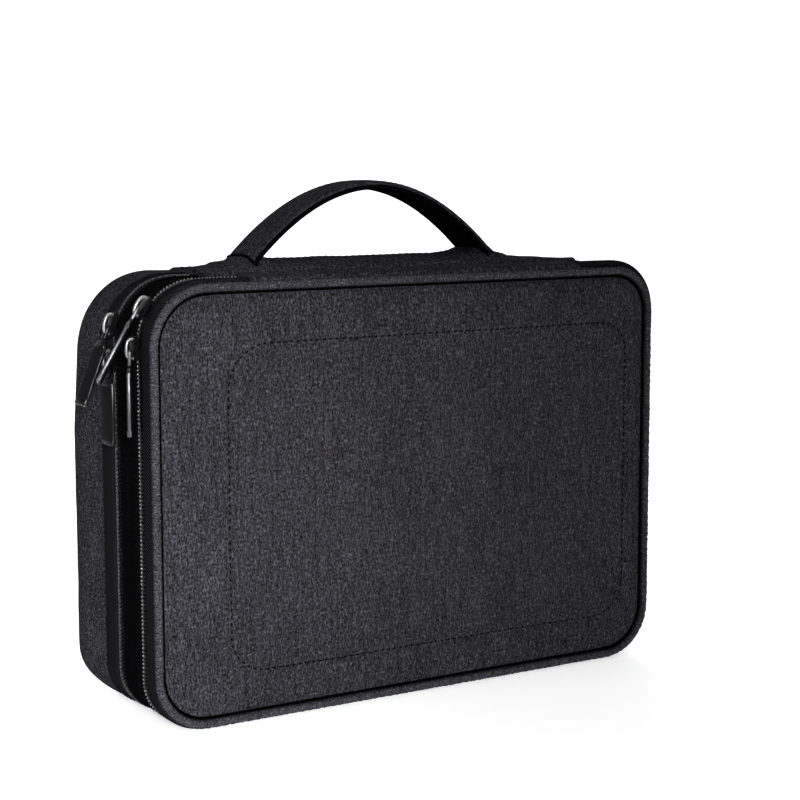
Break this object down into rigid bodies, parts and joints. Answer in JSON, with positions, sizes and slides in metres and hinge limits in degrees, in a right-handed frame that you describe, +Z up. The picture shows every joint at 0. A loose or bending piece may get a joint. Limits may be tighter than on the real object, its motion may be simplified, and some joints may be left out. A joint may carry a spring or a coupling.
{
  "type": "cable organizer pouch",
  "caption": "Zipped fabric case of three padded leaves hinged along the top edge, with a divided tray, pockets, elastic loops, zip sliders and a carrying handle.",
  "frame": {"origin": "on the floor under the rear zip, at mid-width", "axes": "+Z up to the handle, -Y out of the front lid, +X to the right as the front is faced"},
  "size_m": [0.2792, 0.08, 0.2291],
  "materials": {
    "shell_fabric": "matte melange oxford weave",
    "zip_tape": "matte twill tape",
    "zip_teeth": "satin nylon coil",
    "grey_lining": "soft brushed lining",
    "foam_board": "hidden foam and board",
    "mesh_pocket": "fine see-through mesh",
    "elastic": "ribbed woven elastic",
    "dark_metal": "gunmetal plating with bright worn edges",
    "pull_rubber": "satin moulded rubber"
  },
  "bodies": {
    "rear_case": {"rear_zip_teeth_back": "zip_teeth", "rear_zip_tape": "zip_tape", "rear_gusset": "shell_fabric", "rear_panel": "shell_fabric", "tray_wall_padding": "foam_board", "tray_wall_lining": "grey_lining", "tray_floor_lining": "grey_lining", "tray_floor_board": "foam_board", "tray_divider_left": "grey_lining", "tray_divider_right": "grey_lining", "tray_divider_middle": "grey_lining", "tray_divider_side": "grey_lining"},
    "middle_leaf": {"front_zip_teeth_back": "zip_teeth", "rear_zip_teeth_front": "zip_teeth", "middle_band": "zip_tape", "middle_band_lining": "grey_lining", "middle_partition": "grey_lining", "partition_elastic_low": "elastic", "partition_elastic_middle": "elastic", "partition_elastic_high": "elastic", "partition_pocket": "mesh_pocket", "spine_panel": "shell_fabric", "lid_hinge_strip": "shell_fabric", "handle_anchor_left": "shell_fabric", "handle_anchor_right": "shell_fabric"},
    "front_lid": {"front_zip_teeth_front": "zip_teeth", "lid_band": "zip_tape", "lid_piping": "shell_fabric", "lid_panel": "shell_fabric", "lid_padding": "foam_board", "lid_lining": "grey_lining", "lid_pocket_left": "mesh_pocket", "lid_pocket_middle": "mesh_pocket", "lid_pocket_right": "mesh_pocket", "lid_pocket_binding_left": "elastic", "lid_pocket_binding_right": "elastic", "lid_elastic_low": "elastic", "lid_elastic_high": "elastic"},
    "handle": {"handle_strap": "shell_fabric", "handle_lining": "zip_tape"},
    "front_slider_lower": {"front_slider_lower_body": "dark_metal", "front_slider_lower_bridge": "dark_metal"},
    "front_pull_lower": {"front_pull_lower_frame": "dark_metal", "front_pull_lower_insert": "pull_rubber"},
    "front_slider_upper": {"front_slider_upper_body": "dark_metal", "front_slider_upper_bridge": "dark_metal"},
    "front_pull_upper": {"front_pull_upper_frame": "dark_metal", "front_pull_upper_insert": "pull_rubber"},
    "rear_slider_lower": {"rear_slider_lower_body": "dark_metal", "rear_slider_lower_bridge": "dark_metal"},
    "rear_pull_lower": {"rear_pull_lower_frame": "dark_metal", "rear_pull_lower_insert": "pull_rubber"},
    "rear_slider_upper": {"rear_slider_upper_body": "dark_metal", "rear_slider_upper_bridge": "dark_metal"},
    "rear_pull_upper": {"rear_pull_upper_frame": "dark_metal", "rear_pull_upper_insert": "pull_rubber"}
  },
  "joints": [
    {"name": "middle_hinge", "type": "hinge", "parent": "rear_case", "child": "middle_leaf", "pos_m": [0, 0.01, 0.1915], "axis": [-1, 0, 0], "range_deg": [0, 75]},
    {"name": "lid_hinge", "type": "hinge", "parent": "middle_leaf", "child": "front_lid", "pos_m": [0, -0.032, 0.1915], "axis": [-1, 0, 0], "range_deg": [0, 180]},
    {"name": "handle_lean", "type": "hinge", "parent": "middle_leaf", "child": "handle", "pos_m": [0, -0.003, 0.1954], "axis": [-1, 0, 0], "range_deg": [-7, 7], "stiffness_Nm_per_rad": 0.05},
    {"name": "front_slider_lower_travel", "type": "slide", "parent": "middle_leaf", "child": "front_slider_lower", "axis": [0, 0, -1], "range_m": [0, 0.11]},
    {"name": "front_slider_upper_travel", "type": "hinge", "parent": "middle_leaf", "child": "front_slider_upper", "pos_m": [-0.1044, -0.0265, 0.1634], "axis": [0, -1, 0], "range_deg": [-40, 0]},
    {"name": "front_pull_lower_swing", "type": "hinge", "parent": "front_slider_lower", "child": "front_pull_lower", "pos_m": [-0.13365, -0.0265, 0.162], "axis": [0, 1, 0], "range_deg": [0, 30]},
    {"name": "front_pull_upper_swing", "type": "hinge", "parent": "front_slider_upper", "child": "front_pull_upper", "pos_m": [-0.12893, -0.0265, 0.17933], "axis": [0, 1, 0], "range_deg": [0, 110]},
    {"name": "rear_slider_lower_travel", "type": "slide", "parent": "rear_case", "child": "rear_slider_lower", "axis": [0, 0, -1], "range_m": [0, 0.11]},
    {"name": "rear_slider_upper_travel", "type": "hinge", "parent": "rear_case", "child": "rear_slider_upper", "pos_m": [-0.1044, -0.0025, 0.1634], "axis": [0, -1, 0], "range_deg": [-60, 0]},
    {"name": "rear_pull_lower_swing", "type": "hinge", "parent": "rear_slider_lower", "child": "rear_pull_lower", "pos_m": [-0.13365, -0.0025, 0.155], "axis": [0, 1, 0], "range_deg": [0, 30]},
    {"name": "rear_pull_upper_swing", "type": "hinge", "parent": "rear_slider_upper", "child": "rear_pull_upper", "pos_m": [-0.13278, -0.0025, 0.17048], "axis": [0, 1, 0], "range_deg": [0, 120]}
  ]
}
